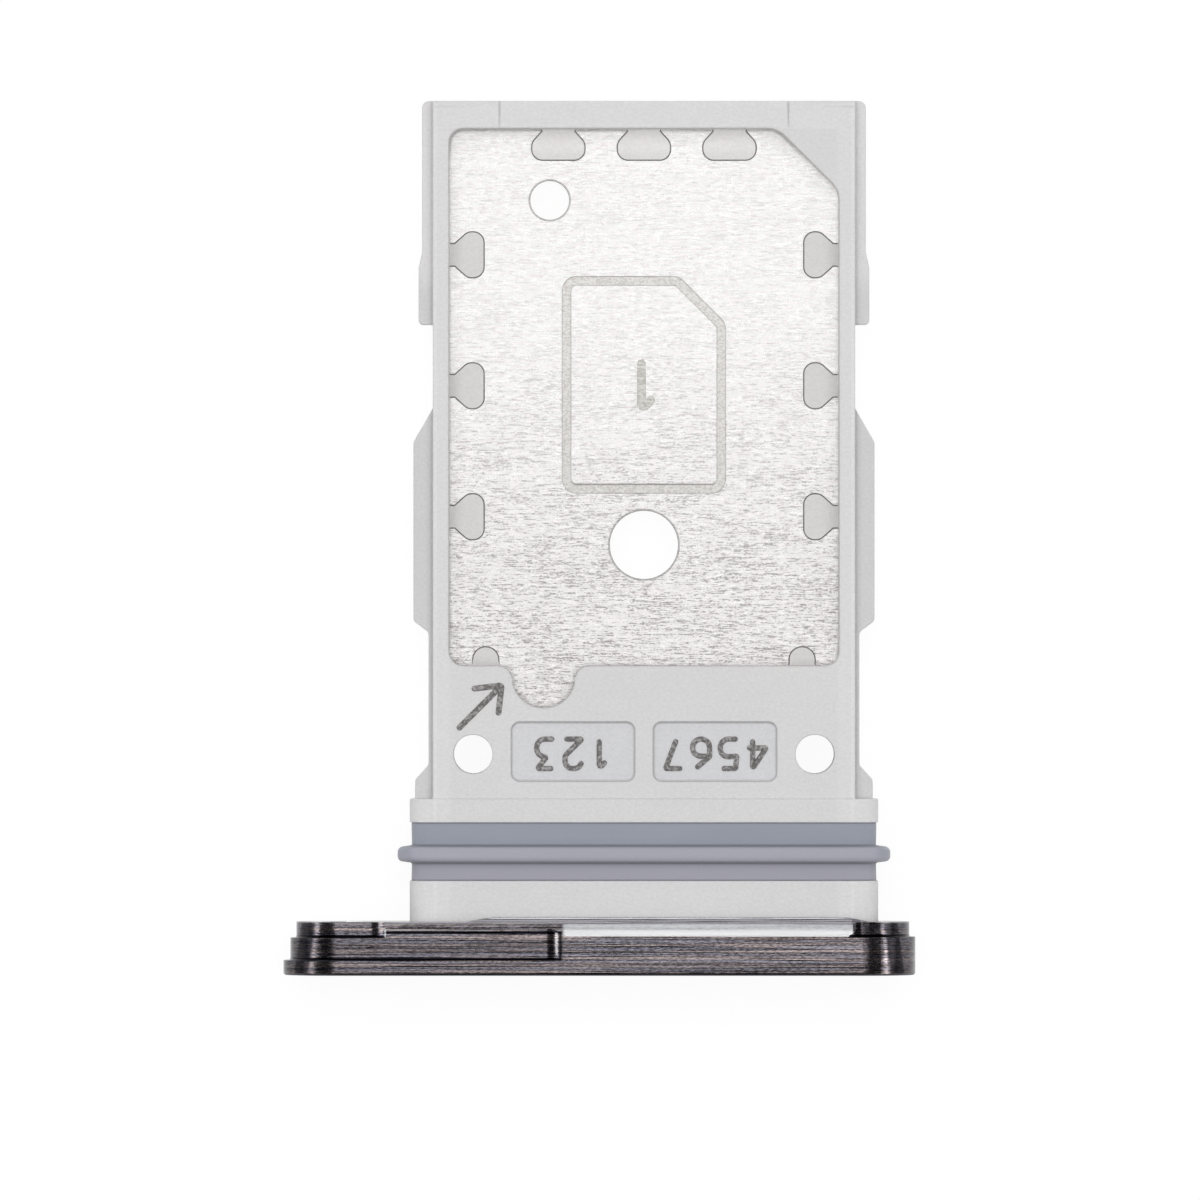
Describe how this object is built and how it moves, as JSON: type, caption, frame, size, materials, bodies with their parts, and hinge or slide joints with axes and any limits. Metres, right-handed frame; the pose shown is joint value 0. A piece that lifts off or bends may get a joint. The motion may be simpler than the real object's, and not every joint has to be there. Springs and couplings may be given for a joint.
{
  "type": "sim card tray",
  "caption": "Flat moulded tray with a card pocket on each face of a steel sheet, a rubber seal round its neck and a stepped metal face plate with an ejector hole.",
  "frame": {"origin": "where the tray's centre line meets the outer face of the face plate, at mid height", "axes": "+Y into the device, along the way the tray slides in; +Z out of the first pocket; +X to the right when the first pocket faces up"},
  "size_m": [0.0146, 0.0202, 0.0024],
  "materials": {
    "face_plate": "dark anodised, fine turned lines along the plate's length",
    "tray_frame": "pale grey moulded plastic, smooth satin",
    "floor_sheet": "bright stainless sheet, brushed across the tray",
    "neck_seal": "blue-grey silicone rubber, satin"
  },
  "bodies": {
    "root": {"face_plate": "face_plate", "tray_frame": "tray_frame", "floor_sheet": "floor_sheet", "neck_seal": "neck_seal"}
  },
  "joints": []
}
